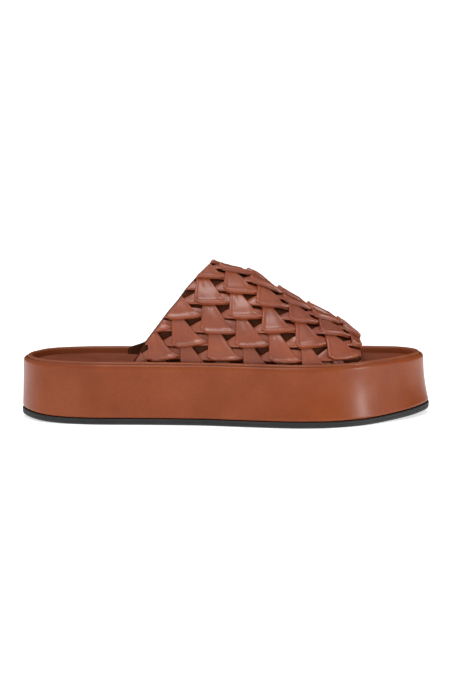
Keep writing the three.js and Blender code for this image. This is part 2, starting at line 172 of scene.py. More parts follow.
PER_SPAN = 60  # steps between two points of a drawn curve
FINE_PLAN = even_points(closed_curve(RIM_PLAN, PER_SPAN), 900)


def inset_plan(distance):
    """The platform's outline moved inwards."""
    along = np.roll(FINE_PLAN, -1, 0) - np.roll(FINE_PLAN, 1, 0)
    along /= np.linalg.norm(along, axis=1, keepdims=True)
    return FINE_PLAN + np.stack([-along[:, 1], along[:, 0]], 1) * distance


def side_of(plan):
    """The y of a closed plan at x, on its outer (-1) or inner (+1) side, as a function."""
    tail, tip = plan[:, 0].argmin(), plan[:, 0].argmax()
    ring = np.roll(plan, -tail, 0)
    tip = (tip - tail) % len(plan)
    outer, inner = ring[:tip + 1], np.vstack([ring[tip:], ring[:1]])[::-1]
    sides = {-1: outer, 1: inner}

    def y_at(x, side):
        points = sides[side]
        return np.interp(x, np.maximum.accumulate(points[:, 0]), points[:, 1])
    return y_at


plan_y = side_of(FINE_PLAN)
HEEL_X, TOE_X = FINE_PLAN[:, 0].min(), FINE_PLAN[:, 0].max()


def lift(x):
    """How far the tread turns up towards the heel's and the toe's end."""
    heel = np.maximum(0, HEEL_X + HEEL_LIFT_LENGTH - x) / HEEL_LIFT_LENGTH
    toe = np.maximum(0, x - TOE_X + TOE_LIFT_LENGTH) / TOE_LIFT_LENGTH
    return HEEL_LIFT * heel ** 2 + TOE_LIFT * toe ** 2


def outsole_top(x):
    return OUTSOLE_THICKNESS + OUTSOLE_TOP_LIFT * lift(x)


def wall_foot(x):
    return outsole_top(x) + GAP


def flare(x):
    """How far the wall's foot stands out from the rim's outline."""
    return mix(FLARE_HEEL, FLARE_TOE, smooth(FLARE_FROM, FLARE_TO, x))


def footbed_inset(slot_x, inner):
    """From the wall's face to the footbed's edge, which leaves room for the vamp's two sides."""
    rear = np.where(inner, SLOT_REAR_INNER, SLOT_REAR_OUTER)
    beside = (smooth(rear - SLOT_FADE, rear, slot_x)
              * (1 - smooth(SLOT_FRONT, SLOT_FRONT + SLOT_FADE, slot_x)))
    return mix(RIM_WIDTH + GAP, LINING_INSET + LINING_THICKNESS + GAP, beside)


# ---- meshes ----

WELD, FINE_WELD = 0.004, 0.002  # points nearer than this become one, in mm


def make_mesh(name, points, faces, material, weld=WELD):
    """A smooth-shaded object from points in mm in the drawing's frame."""
    mesh = bpy.data.meshes.new(name)
    mesh.from_pydata(((np.asarray(points) + DRAWING_ORIGIN) * MM).tolist(), [], faces)
    bm = bmesh.new()
    bm.from_mesh(mesh)
    bmesh.ops.remove_doubles(bm, verts=bm.verts, dist=weld * MM)
    bmesh.ops.dissolve_degenerate(bm, edges=bm.edges, dist=weld * MM / 2)
    bmesh.ops.recalc_face_normals(bm, faces=bm.faces)
    for face in bm.faces:
        face.smooth = True
    bm.to_mesh(mesh)
    bm.free()
    obj = bpy.data.objects.new(name, mesh)
    bpy.context.scene.collection.objects.link(obj)
    mesh.materials.append(material)
    return obj


def grid_faces(rows, columns, wrap_rows=False, wrap_columns=False, start=0):
    """Quads over a grid of points; wrapping joins its last row or column to its first."""
    faces = []
    for r in range(rows if wrap_rows else rows - 1):
        for c in range(columns if wrap_columns else columns - 1):
            r2, c2 = (r + 1) % rows, (c + 1) % columns
            faces.append([start + r * columns + c, start + r * columns + c2,
                          start + r2 * columns + c2, start + r2 * columns + c])
    return faces


def finish_piece(obj, slot, *nodes):
    """Lets a piece ride the only body and take the place of its CAD nodes."""
    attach(obj, BODY)
    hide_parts(*nodes)


# ---- the platform's outline, as one closed loop: heel, outer side, toe, inner side ----

def loop_of(xs):
    """Plan points and outward directions; point k lies across from point 2 * (len(xs) - 1) - k."""
    last = len(xs) - 1
    outer = np.stack([xs, plan_y(xs, -1)], 1)
    inner = np.stack([xs, plan_y(xs, 1)], 1)[::-1][1:-1]
    for end in (0, last):
        outer[end, 1] = (plan_y(xs[end], -1) + plan_y(xs[end], 1)) / 2
    loop = np.vstack([outer, inner])
    along = np.roll(loop, -1, 0) - np.roll(loop, 1, 0)
    along /= np.linalg.norm(along, axis=1, keepdims=True)
    return loop, np.stack([along[:, 1], -along[:, 0]], 1)


def cosine_xs(count):
    """x from heel to toe, closer together at the two round ends."""
    return mix(HEEL_X, TOE_X, (1 - np.cos(np.pi * np.arange(count + 1) / count)) / 2)


def round_off(rows, times=2):
    """Corner cutting on a section: rows is (points, stations, 2)."""
    for _ in range(times):
        a, b = rows[:-1], rows[1:]
        cut = np.empty((2 * len(a),) + rows.shape[1:])
        cut[0::2], cut[1::2] = a * 0.75 + b * 0.25, a * 0.25 + b * 0.75
        rows = np.concatenate([rows[:1], cut[1:-1], rows[-1:]])
    return rows


def section_rows(points, count):
    """Section points, each a pair of numbers or arrays over the stations, as one array."""
    return np.array([[np.broadcast_to(v, count) for v in p] for p in points]).transpose(0, 2, 1)


def sheet_back(rows, thickness):
    """The face of a sheet moved inwards, from its last point to its first."""
    run = np.gradient(rows, axis=0)
    run /= np.maximum(np.linalg.norm(run, axis=2, keepdims=True), 1e-9)
    return (rows + np.stack([run[..., 1], -run[..., 0]], 2) * thickness)[::-1]


def place_rows(rows, loop, out):
    """Section rows [inset, z] swept round the loop: (points, stations, 3)."""
    xy = loop[None] - out[None] * rows[..., :1]
    return np.concatenate([xy, rows[..., 1:]], 2)


def ring_piece(name, face, thickness, loop, out, material, uneven):
    """A sheet of leather swept all the way round the platform."""
    rows = np.concatenate([face, sheet_back(face, thickness)])
    points = uneven(place_rows(rows, loop, out))
    faces = grid_faces(len(rows), len(loop), wrap_rows=True, wrap_columns=True)
    return make_mesh(name, points.reshape(-1, 3), faces, material)


RING_STEPS = 190  # stations from heel to toe on the wall's and the rim's leather
WRAP_THICKNESS, BINDING_THICKNESS = 1.1, 1.0


def platform_wrap(material):
    """The wall's leather: turned in under the platform, up the wall and in over its shoulder."""
    loop, out = loop_of(cosine_xs(RING_STEPS))
    x = loop[:, 0]
    foot, fl = wall_foot(x), flare(x)
    wall = [(-fl * (1 - rise) ** FLARE_POWER, mix(foot, SHOULDER_Z, rise))
            for rise in (0.1, 0.2, 0.32, 0.45, 0.6, 0.75, 0.88, 1)]
    face = section_rows([
        (10, foot), (2.4 - fl, foot), (0.9 - fl, foot + 0.1), (0.15 - fl, foot + 0.9), *wall,
        (0.1, 38.6), (0.38, 39.45), (0.85, 40.15), (1.45, 40.55), (2.05, 40.6), (2.45, 40.2),
        (2.6, 39.3),
    ], len(loop))
    face = round_off(face)

    def uneven(points):
        x, y, z = points[..., 0], points[..., 1], points[..., 2]
        bulge = waves(x, y, z * 1.4, 46, 3) * 0.09 + waves(x, y, z, 17, 5) * 0.025
        points[..., :2] += out[None] * (bulge * smooth(6, 12, z))[..., None]
        return points
    piece = ring_piece("platform_wrap_leather", face, WRAP_THICKNESS, loop, out, material, uneven)
    finish_piece(piece, "wall_leather", "platform_wrap")


def rim_binding(material):
    """The leather rolled over the rim, from the crease at the wall's top down the inner face."""
    loop, out = loop_of(cosine_xs(RING_STEPS))
    face = section_rows([
        (2.78, 38.9), (2.66, 40.1), (2.72, 41.0), (3.1, 41.65), (3.85, 42.0), (4.6, 42.05),
        (5.35, 41.9), (5.95, 41.45), (6.25, 40.6), (RIM_WIDTH, 39.4), (RIM_WIDTH, 36),
        (RIM_WIDTH, 32.6),
    ], len(loop))
    face = round_off(face)

    def uneven(points):
        x, y, z = points[..., 0], points[..., 1], points[..., 2]
        rise = waves(x, y, 0, 30, 11) * 0.1 + waves(x, y, 0, 8, 12) * 0.03
        points[..., 2] += rise * smooth(38, 41, z)
        return points
    piece = ring_piece("rim_binding_leather", face, BINDING_THICKNESS, loop, out, material, uneven)
    finish_piece(piece, "wall_leather", "rim_binding")


def slab(name, xs, edge, top_z, bottom_z, across, material):
    """A closed slab over the plan.

    edge(loop_x, slot_x, inner) gives section rows from the bottom to the top of its side, where
    slot_x is the x that the vamp's sides have there and inner is true on the foot's inner side.
    top_z and bottom_z move the points of its two broad faces, and across spreads them."""
    loop, out = loop_of(xs)
    slot_x = loop[:, 0] - out[:, 0] * LINING_INSET
    rows = section_rows(edge(loop[:, 0], slot_x, out[:, 1] > 0), len(loop))
    ring = place_rows(rows, loop, out)
    count, last = len(loop), len(xs) - 1
    points, faces = [ring.reshape(-1, 3)], grid_faces(len(rows), count, wrap_columns=True)
    start = ring.shape[0] * count
    for row, move, flip in ((0, bottom_z, True), (-1, top_z, False)):
        k = np.arange(last + 1)
        a, b = ring[row][k], ring[row][(count - k) % count]
        share = across(np.linalg.norm(b - a, axis=1))
        face = a[:, None] + (b - a)[:, None] * share[..., None]
        face[..., 2] = move(face[..., 0], face[..., 1], face[..., 2], share)
        made = grid_faces(face.shape[0], face.shape[1], start=start)
        faces += [f[::-1] for f in made] if flip else made
        points.append(face.reshape(-1, 3))
        start += face.shape[0] * face.shape[1]
    return make_mesh(name, np.vstack(points), faces, material)


def cosine_across(count):
    """Spreads points over a broad face, closer together at its two edges."""
    steps = (1 - np.cos(np.pi * np.arange(count + 1) / count)) / 2
    return lambda width: np.broadcast_to(steps, (len(width), count + 1))


def edges_kept(height):
    """Lets a broad face move while the points on its outline stay where they are."""
    def move(x, y, z, share):
        return z + height(x, y) * np.sin(np.pi * np.clip(share, 0, 1)) ** 0.5
    return move


def kept_flat(x, y, z, share):
    return z


# hollows under the heel and the ball: depth, middle's x and y, and reach along and across
HOLLOWS = [(0.75, -92, 7, 26, 20), (0.45, 62, 2, 30, 24)]


def footbed_height(x, y):
    """How the footbed is worn to the foot: two shallow hollows and a little unevenness."""
    height = 0.12 * waves(x, y, 0, 34, 21) + 0.03 * waves(x, y, 0, 9, 22)
    for depth, middle_x, middle_y, along, across in HOLLOWS:
        far = ((x - middle_x) / along) ** 2 + ((y - middle_y) / across) ** 2
        height = height - depth * np.exp(-far)
    return height


SLOT_STEP = 0.7  # between stations at the ends of the footbed's notches


def footbed(cover_material, foam_material):
    """The leather sock that the foot stands on, and the thin cushion under it."""
    xs = np.unique(np.concatenate([
        cosine_xs(130), np.arange(SLOT_REAR_INNER - 6, SLOT_REAR_OUTER + 2, SLOT_STEP),
        np.arange(SLOT_FRONT - 2, SLOT_FRONT + 6, SLOT_STEP)]))
    bottom = FOOTBED_Z - COVER_THICKNESS
    worn = edges_kept(footbed_height)

    def cover_edge(x, slot_x, inner):
        inset = footbed_inset(slot_x, inner)
        return [(inset + 0.25, bottom), (inset, bottom + 0.3), (inset, FOOTBED_Z - 0.7),
                (inset + 0.12, FOOTBED_Z - 0.35), (inset + 0.42, FOOTBED_Z - 0.1),
                (inset + 0.9, FOOTBED_Z), (inset + 1.6, FOOTBED_Z)]
    cover = slab("footbed_cover_leather", xs, cover_edge, worn, worn, cosine_across(44),
                 cover_material)
    finish_piece(cover, "footbed_leather", "footbed_cover")

    foam_top = bottom - GAP

    def foam_edge(x, slot_x, inner):
        inset = footbed_inset(slot_x, inner) + 0.6
        return [(inset + 0.4, foam_top - FOAM_THICKNESS), (inset, foam_top - FOAM_THICKNESS + 0.5),
                (inset, foam_top - 0.5), (inset + 0.5, foam_top)]
    foam = slab("footbed_cushion", xs, foam_edge, worn, kept_flat, cosine_across(24),
                foam_material)
    finish_piece(foam, "cushion_foam", "footbed_foam")


OUTSOLE_ROUND = 2.0  # how far in the tread's rounded lower edge reaches
GROOVE_SLOPE = 0.15  # half the width of a groove's sloping side


def outsole(material):
    """The rubber sheet under the platform, with cross grooves at the heel and the ball."""
    half = TREAD_WIDTH / 2
    grooves = np.concatenate([np.arange(first, last + 0.1, TREAD_PITCH)
                              for first, last in (TREAD_HEEL, TREAD_BALL)])
    edges = [grooves + side * half + slope
             for side in (-1, 1) for slope in (-GROOVE_SLOPE, GROOVE_SLOPE)]
    xs = np.unique(np.round(np.concatenate([cosine_xs(170), *edges]), 4))

    def edge(x, slot_x, inner):
        top, low, fl = outsole_top(x), lift(x), flare(x)
        height = top - low
        return [(OUTSOLE_ROUND - fl, low), (1.1 - fl, low + 0.12), (0.45 - fl, low + 0.4),
                (0.1 - fl, low + 0.9), (-0.02 - fl, low + 0.42 * height),
                (-0.04 - fl, low + 0.52 * height), (0.12 - fl, low + 0.555 * height),
                (0.12 - fl, low + 0.585 * height), (-0.1 - fl, low + 0.62 * height),
                (-0.12 - fl, low + 0.8 * height), (0.05 - fl, low + 0.93 * height),
                (0.45 - fl, top)]

    # the grooves stop at a margin; their ends slope between the last two of these steps
    margin_steps = np.array([0, 0.4, 0.96, 1.04])

    def across(width):
        margin = np.minimum(TREAD_MARGIN - OUTSOLE_ROUND, 0.3 * width)
        left = margin[:, None] * margin_steps
        middle = np.linspace(0, 1, 9)[1:-1]
        inner = mix(left[:, -1:], width[:, None] - left[:, -1:], middle)
        return (np.hstack([left, inner, (width[:, None] - left)[:, ::-1]])
                / np.maximum(width, 1e-6)[:, None])

    def grooved(x, y, z, share):
        near = np.min(np.abs(x[..., None] - grooves), axis=-1)
        in_groove = (near < half).astype(float)
        inside = np.zeros(share.shape)
        grooved_from = len(margin_steps) - 1
        inside[:, grooved_from:-grooved_from] = 1
        return z + TREAD_DEPTH * in_groove * inside
    piece = slab("outsole_rubber", xs, edge, kept_flat, grooved, across, material)
    finish_piece(piece, "outsole_rubber", "outsole")


# ---- the vamp's arch, as a table over x and the girth length s from the outer spring line ----

GRID_X = np.arange(-96, 116.01, 1.0)
GRID_S = np.arange(-16, 262.01, 1.0)
ARCH_STEPS = 720


def arch_table():
    """The lining's outer face over x and s, and the girth length at each x."""
    lining_y = side_of(inset_plan(LINING_INSET))
    ridge = open_curve(RIDGE.astype(float), PER_SPAN)
    angle = np.linspace(0, np.pi, ARCH_STEPS + 1)
    up = np.sin(angle).clip(0)
    table = np.zeros((len(GRID_X), len(GRID_S), 3))
    girths = np.zeros(len(GRID_X))
    for n, x in enumerate(GRID_X):
        a, b = lining_y(x, -1), lining_y(x, 1)
        rise = np.interp(x, ridge[:, 0], ridge[:, 1]) - WEAVE_HEIGHT - SPRING_Z
        y = (a + b) / 2 - (b - a) / 2 * np.cos(angle) + RIDGE_SHIFT * up ** 2
        z = SPRING_Z + rise * up ** ARCH_FULLNESS
        run = np.concatenate([[0], np.cumsum(np.hypot(np.diff(y), np.diff(z)))])
        girth = girths[n] = run[-1]
        s = np.clip(GRID_S, 0, girth)
        table[n, :, 0] = x
        table[n, :, 1] = np.interp(s, run, y)
        table[n, :, 2] = (np.interp(s, run, z) + np.minimum(GRID_S, 0)
                          - np.maximum(GRID_S - girth, 0))
    return table, girths


ARCH, GIRTH = arch_table()


def arch_normals():
    """Outward directions over the arch, from differences over twice span grid steps."""
    span = 2
    padded = np.pad(ARCH, ((span, span), (span, span), (0, 0)), mode="reflect",
                    reflect_type="odd")
    along_x = padded[2 * span:, span:-span] - padded[:-2 * span, span:-span]
    along_s = padded[span:-span, 2 * span:] - padded[span:-span, :-2 * span]
    out = np.cross(along_x, along_s)
    return out / np.linalg.norm(out, axis=2, keepdims=True)


ARCH_OUT = arch_normals()


def on_table(table, x, s):
    """Bilinear look-up at x and s."""
    fx = np.clip(x - GRID_X[0], 0, len(GRID_X) - 1.001)
    fs = np.clip(s - GRID_S[0], 0, len(GRID_S) - 1.001)
    ix, js = fx.astype(int), fs.astype(int)
    tx, ts = (fx - ix)[..., None], (fs - js)[..., None]
    return ((table[ix, js] * (1 - tx) + table[ix + 1, js] * tx) * (1 - ts)
            + (table[ix, js + 1] * (1 - tx) + table[ix + 1, js + 1] * tx) * ts)


def over_arch(x, s, height):
    """Points a height above the lining's outer face."""
    x, s = np.broadcast_arrays(np.asarray(x, float), np.asarray(s, float))
    return on_table(ARCH, x, s) + on_table(ARCH_OUT, x, s) * np.asarray(height)[..., None]


def girth_at(x):
    return np.interp(x, GRID_X, GIRTH)


def topline_x(y, z):
    outer, inner = (np.interp(z, TOPLINE[:, 0], TOPLINE[:, c]) for c in (1, 2))
    return mix(outer, inner, (y - TOPLINE_OUTER_Y) / (TOPLINE_INNER_Y - TOPLINE_OUTER_Y))


def edge_tables():
    """The x of the vamp's rear and front edges at each s."""
    rear_gap = ARCH[..., 0] - topline_x(ARCH[..., 1], ARCH[..., 2])
    front_gap = ARCH[..., 0] - FRONT_EDGE
    rear, front = [], []
    for gap, out in ((rear_gap, rear), (front_gap, front)):
        for column in gap.T:
            above = np.nonzero(column > 0)[0]
            n = above[0] if len(above) else len(GRID_X) - 1
            if n == 0:
                out.append(GRID_X[0])
                continue
            t = -column[n - 1] / (column[n] - column[n - 1])
            out.append(GRID_X[n - 1] + np.clip(t, 0, 1))
    return np.array(rear), np.array(front)


REAR_X, FRONT_X = edge_tables()


def rear_x(s):
    return np.interp(s, GRID_S, REAR_X)


def front_x(s):
    return np.interp(s, GRID_S, FRONT_X)


LINING_COLUMNS, LINING_STEPS = 110, 150  # along the foot, and over it
EDGE_TRIES = 4  # an edge's place depends on the girth, and the girth on the place
EDGE_GUESS = (-70, 90)  # x of the rear and front edge at the first try


def lining_grid():
    """The x and s of the lining's points, one row for each step over the foot."""
    along = np.linspace(0, 1, LINING_COLUMNS + 1)
    rows = []
    for share in np.linspace(0, 1, LINING_STEPS + 1):
        x = np.linspace(*EDGE_GUESS, LINING_COLUMNS + 1)
        for _ in range(EDGE_TRIES):
            s = mix(-SLOT_DEPTH, girth_at(x) + SLOT_DEPTH, share)
            x = mix(rear_x(s[0]) - LINING_PROUD, front_x(s[-1]) + LINING_PROUD, along)
        rows.append((x, mix(-SLOT_DEPTH, girth_at(x) + SLOT_DEPTH, share)))
    x, s = np.array(rows).transpose(1, 0, 2)
    return x, s


def vamp_lining(material):
    """A smooth arched sheet with rounded edges, just proud of the strips' ends."""
    x, s = lining_grid()
    half = LINING_THICKNESS / 2
    inside = np.minimum(x - x[:, :1], x[:, -1:] - x)
    edge_round = half * np.sqrt(1 - (1 - np.clip(inside / half, 0, 1)) ** 2)
    wobble = waves(x, s, 0, 26, 31) * 0.12
    layers = [over_arch(x, s, -half + side * edge_round + wobble).reshape(-1, 3)
              for side in (1, -1)]
    points = np.concatenate(layers)
    width = LINING_COLUMNS + 1
    count = (LINING_STEPS + 1) * width
    top = grid_faces(LINING_STEPS + 1, width)
    faces = top + [[v + count for v in f[::-1]] for f in top]
    for row in (0, LINING_STEPS):
        for column in range(LINING_COLUMNS):
            a = row * width + column
            faces.append([a, a + 1, a + 1 + count, a + count])
    piece = make_mesh("vamp_lining_leather", points, faces, material)
    finish_piece(piece, "lining_leather", "vamp_lining")


# ---- the weave ----

PERIOD = 2 * LONG_PITCH
HEM_FIRST = 2.5  # s of row 0's hem
MIDDLE_S = 95.0  # parts the pieces of a strip that the topline cuts in two
CROSS_SEED, LONG_SEED = 7, 19


def cross_x(i, s):
    """The x of cross strip i's middle at the girth length s."""
    rise = np.clip(s / LEAN_OVER, 0, 1)
    return CROSS_FEET[i + 1] - CROSS_LEAN * np.sin(np.pi / 2 * rise)


def hem_s(row):
    return HEM_FIRST + LONG_PITCH * row


def hem_rise(column):
    """The hems lie higher towards the toe."""
    return 0.5 * smooth(2, 6, column)


def settled(x, s):
    """Scales the weave's height: just past the ridge the strips lie flatter."""
    past_ridge = s - girth_at(x) / 2 - 12
    return 1 - 0.28 * np.exp(-(past_ridge / 14) ** 2)


EDGE_GAP, EDGE_ROLL, EDGE_HEIGHT = 0.1, 2.2, 0.35  # at the vamp's rear and front edges
FOOT_S, FOOT_HEIGHT, FOOT_RISE = 4.0, 3.9, 0.16  # the strips keep low beside the rim


def keep_inside(x, s, height):
    """Trims points to the vamp's outline: what would pass an edge stays on it, rolled down."""
    rear, front = rear_x(s) + EDGE_GAP, front_x(s) - EDGE_GAP
    inside = np.minimum(x - rear, front - x)
    curve = np.sqrt(1 - (1 - np.clip(inside / EDGE_ROLL, 0, 1)) ** 2)
    x = np.clip(x, rear, front)
    s = np.clip(s, -SLOT_DEPTH, girth_at(x) + SLOT_DEPTH)
    highest = FOOT_HEIGHT + FOOT_RISE * np.maximum(s, 0)
    height = np.where(s < FOOT_S, np.minimum(height, highest), height)
    return x, s, EDGE_HEIGHT + (height - EDGE_HEIGHT) * curve


# A tile is one puffed cell of a cross strip. q runs down it in mm, from its neck under the hem
# above (below 0) to its own hem, and w runs across it from -1 at the rear to 1 at the front.
TILE_ROWS = np.array([-6, -4, -2, -1, 0, 0.8, 1.6, 2.6, 3.8, 5, 6.3, 7.6, 8.9, 10.2, 11.4, 12.5,
                      13.4, 14.1, 14.6, 15.0, 15.4, 15.8, 16.2, 16.6, 17.0, 17.4, 17.75, 18.05,
                      18.3, 18.48, 18.6])
TILE_START, TILE_END = -6.0, PERIOD
TILE_HEIGHT = np.array([  # middle of the leather over q: the body rises, then the hem rolls over
    [-6, 0.7], [-1, 0.75], [0.5, 1.05], [3, 1.7], [7, 2.5], [11, 3.0], [13, 3.15], [14.2, 3.2],
    [15.2, 3.4], [16.0, 3.85], [16.7, 4.35], [17.2, 4.35], [17.7, 3.9], [18.1, 3.2], [18.4, 2.5],
    [18.6, 1.9]])
TILE_TOP, TILE_ARC, TILE_UNDER = 25, 4, 8  # points over, round the edge of and under a section
TILE_THICKNESS, TILE_CORNER, TILE_CLOSING = 1.25, 0.7, 0.8
# how far a tile's sides are from its middle, in pitches to the strips behind and ahead
NECK_REAR, NECK_FRONT = -0.33, 0.08
HEM_REAR, HEM_FRONT = -0.54, 0.66


def bump_at(distance, place, width):
    return np.exp(-((distance - place) / width) ** 2)


def across_strip(rear, front, half, radius, tops):
    """The section of a flat strip with round edges: offsets across it, heights and w in -1..1."""
    arc = np.linspace(np.pi / 2, -np.pi / 2, TILE_ARC + 2)[1:-1]
    one = np.ones_like(rear)
    across, over, w_all = [], [], []
    for w in tops:
        across.append(mix(rear + radius, front - radius, (w + 1) / 2))
        over.append(half)
        w_all.append(w * one)
    for a in arc:
        across.append(front - radius + radius * math.cos(a))
        over.append(half * math.sin(a))
        w_all.append(one)
    for w in np.linspace(1, -1, TILE_UNDER):
        across.append(mix(rear + radius, front - radius, (w + 1) / 2))
        over.append(-half)
        w_all.append(w * one)
    for a in arc[::-1]:
        across.append(rear + radius - radius * math.cos(a))
        over.append(half * math.sin(a))
        w_all.append(-one)
    return (np.hstack(v) for v in (across, over, w_all))


def tile_sides(i, q, rng):
    """How far the rear and front sides of a tile of cross strip i are from its middle."""
    t = np.clip((q - 0.3) / (TILE_END - 0.3), 0, 1)
    back = CROSS_FEET[i + 1] - CROSS_FEET[i]
    ahead = CROSS_FEET[i + 2] - CROSS_FEET[i + 1]
    swell = rng.uniform(0.95, 1.05)
    straight = rng.uniform(0.66, 0.82)
    flared = straight * t + (1 - straight) * smooth(0.76, 1, t)
    rear = mix(NECK_REAR, HEM_REAR * swell, t) * back
    front = mix(NECK_FRONT, HEM_FRONT * swell, flared) * ahead
    return rear, front


def tile_half(q):
    """Half a tile's thickness, which closes at its two ends."""
    end_run = np.clip((TILE_END - q) / TILE_CLOSING, 0, 1)
    start_run = np.clip((q - TILE_START) / TILE_CLOSING, 0, 1)
    closing = np.sqrt(1 - (1 - end_run) ** 2) * np.sqrt(start_run)
    return TILE_THICKNESS / 2 * closing


def shape_hem(i, q, w, rng):
    """Moves q so that the hem bows down in its middle, with a round rear corner and a front tip."""
    lip = hem_rise(i) + rng.uniform(-0.7, 0.7)
    tilt = (rng.uniform(-0.3, 1.0) + 1.2 * (1 - smooth(1, 4, i))) * w
    bow = 0.5 * (1 - w ** 2)
    corner = -1.7 * smooth(-0.7, -1.03, w) - 0.5 * smooth(0.6, 1, w)
    return q + (bow + corner - lip - tilt) * smooth(6, TILE_END, q)


def tile_height(q, across, w, rear, front, rng):
    """The height of the middle of a tile's leather."""
    height = np.interp(q, TILE_HEIGHT[:, 0], TILE_HEIGHT[:, 1]) * rng.uniform(0.95, 1.05)
    height = height - 1.3 * smooth(8, 17, q) * smooth(0.4, 1.05, w)
    # turned edges: a roll along the rear side with a crease inside it, and a small one in front
    from_rear, from_front = across - rear, front - across
    shown = smooth(-2, 3, q)  # where the strip comes out from under the hem above
    height = height + shown * (0.45 * bump_at(from_rear, 1.0, 0.8)
                               - 0.12 * bump_at(from_rear, 2.6, 0.6)
                               + 0.2 * bump_at(from_front, 0.9, 0.8))
    # pinched folds fan out from the neck
    fan = (across - (rear + front) / 2) / np.maximum(3.2 + 0.4 * q, 2)
    folds = np.cos(fan * rng.uniform(5.0, 7.0) + rng.uniform(0, FULL_TURN))
    height = height + 0.12 * folds * smooth(-1, 2, q) * (1 - smooth(5, 13, q))
    return height + 0.14 * waves(across, q, 0, 10, any_seed(rng)) * smooth(2, 8, q)


def tile_points(i, row, rng):
    """The x, s and height of a tile of cross strip i, as rows of closed sections."""
    q = TILE_ROWS[:, None]
    rear, front = tile_sides(i, q, rng)
    half = tile_half(q)
    tops = np.linspace(-1, 1, TILE_TOP)
    tops = mix(tops, np.sin(tops * np.pi / 2), 0.55)  # closer together at the edges
    across, over, w = across_strip(rear, front, half, np.minimum(half, TILE_CORNER), tops)
    q = np.broadcast_to(q, across.shape)
    s = hem_s(row) + PERIOD - shape_hem(i, q, w, rng)
    height = tile_height(q, across, w, rear, front, rng)
    x = cross_x(i, s) + across + rng.uniform(-0.4, 0.4)
    return x, s, height * settled(x, s) + over


def trimmed_mesh(x, s, height):
    """The points and faces of a strip's rows of closed sections, kept inside the vamp."""
    points = over_arch(*keep_inside(x, s, height))
    rows, columns = points.shape[:2]
    return points.reshape(-1, 3), grid_faces(rows, columns, wrap_columns=True)


def share_inside(x, s):
    """How much of a tile's shown part lies well within the vamp's outline."""
    inside = (x > rear_x(s) + 0.4) & (x < front_x(s) - 0.4)
    inside &= (s > -SLOT_DEPTH + 0.5) & (s < girth_at(x) + SLOT_DEPTH - 0.5)
    return inside[np.count_nonzero(TILE_ROWS < 0):].mean()


LEAST_INSIDE, LEAST_AT_TOE_CORNER = 0.14, 0.5  # with less of it inside, a tile is left out


def join_parts(parts):
    """Separate bodies, each a pair of points and faces, as one."""
    points, faces, start = [], [], 0
    for part_points, part_faces in parts:
        points.append(part_points)
        faces += [[v + start for v in f] for f in part_faces]
        start += len(part_points)
    return np.vstack(points), faces


TILE_ROW_FIRST, TILE_ROW_LAST = -2, 23


def cross_strips(material):
    """The strips over the foot. A strip that the topline cuts in two is two pieces."""
    rng = np.random.default_rng(CROSS_SEED)
    for i in range(CROSS_COUNT):
        node = f"cross_strip_{i + 1:02d}"
        far_node = f"{node}_b"
        parts = {node: [], far_node: []}
        for row in range(TILE_ROW_FIRST, TILE_ROW_LAST + 1):
            if (i + row + 1) % 2:
                continue
            x, s, height = tile_points(i, row, rng)
            toe_corner = i == CROSS_COUNT - 1 and row < 0
            if share_inside(x, s) < (LEAST_AT_TOE_CORNER if toe_corner else LEAST_INSIDE):
                continue
            far = far_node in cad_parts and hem_s(row) > MIDDLE_S
            parts[far_node if far else node].append(trimmed_mesh(x, s, height))
        for name, tiles in parts.items():
            if tiles:
                points, faces = join_parts(tiles)
                piece = make_mesh(f"woven_{name}", points, faces, material, weld=FINE_WELD)
                finish_piece(piece, "strip_leather", name)


def long_s(j):
    """The s of long strip j's middle."""
    return LONG_FIRST + LONG_PITCH * (j + 0.5)


# A long strip near a tile's lower half, which it bears and shows beside as a wing: place in
# pitches from the tile's middle, height, lower and upper edge above the hem, in mm but the first.
UNDER_TILE = [(-0.9, 1.0, 0.8, 3.4), (-0.76, 1.6, 0.3, 4.4), (-0.6, 2.2, 0.0, 6.4),
              (-0.44, 2.5, 0.0, 8.0), (0.0, 2.2, 0.5, 8.6), (0.34, 1.7, 0.7, 8.4),
              (0.6, 1.0, 0.7, 8.0), (0.85, 0.6, 0.7, 7.4)]
UNDER_NECK = (0.4, 0.8, 5.6)  # the same without the place: it dips under a tile's neck
LONG_STEP = 0.9  # between a long strip's sections
LONG_HALF = 0.62  # half its thickness


def long_knots(j, rng):
    """Rows of x, height, lower edge and upper edge along a long strip."""
    knots = []
    feet = [CROSS_FEET[0] - END_PITCH, *CROSS_FEET, CROSS_FEET[-1] + END_PITCH]
    for i in range(-1, CROSS_COUNT + 1):
        x = cross_x(i, long_s(j))
        if (i + j) % 2:
            knots.append((x, *UNDER_NECK))
            continue
        back, ahead = feet[i + 2] - feet[i + 1], feet[i + 3] - feet[i + 2]
        stretch, lift_by = rng.uniform(0.9, 1.12), rng.uniform(-0.12, 0.12)
        for place, height, bottom, top in UNDER_TILE:
            pitch = back if place < 0 else ahead
            knots.append((x + place * pitch, height + lift_by, bottom, top * stretch))
    knots = np.array(knots)
    return knots[knots[:, 0].argsort()]


def running_mean(values, count=5):
    padded = np.pad(values, count // 2, mode="edge")
    return np.convolve(padded, np.ones(count) / count, mode="valid")


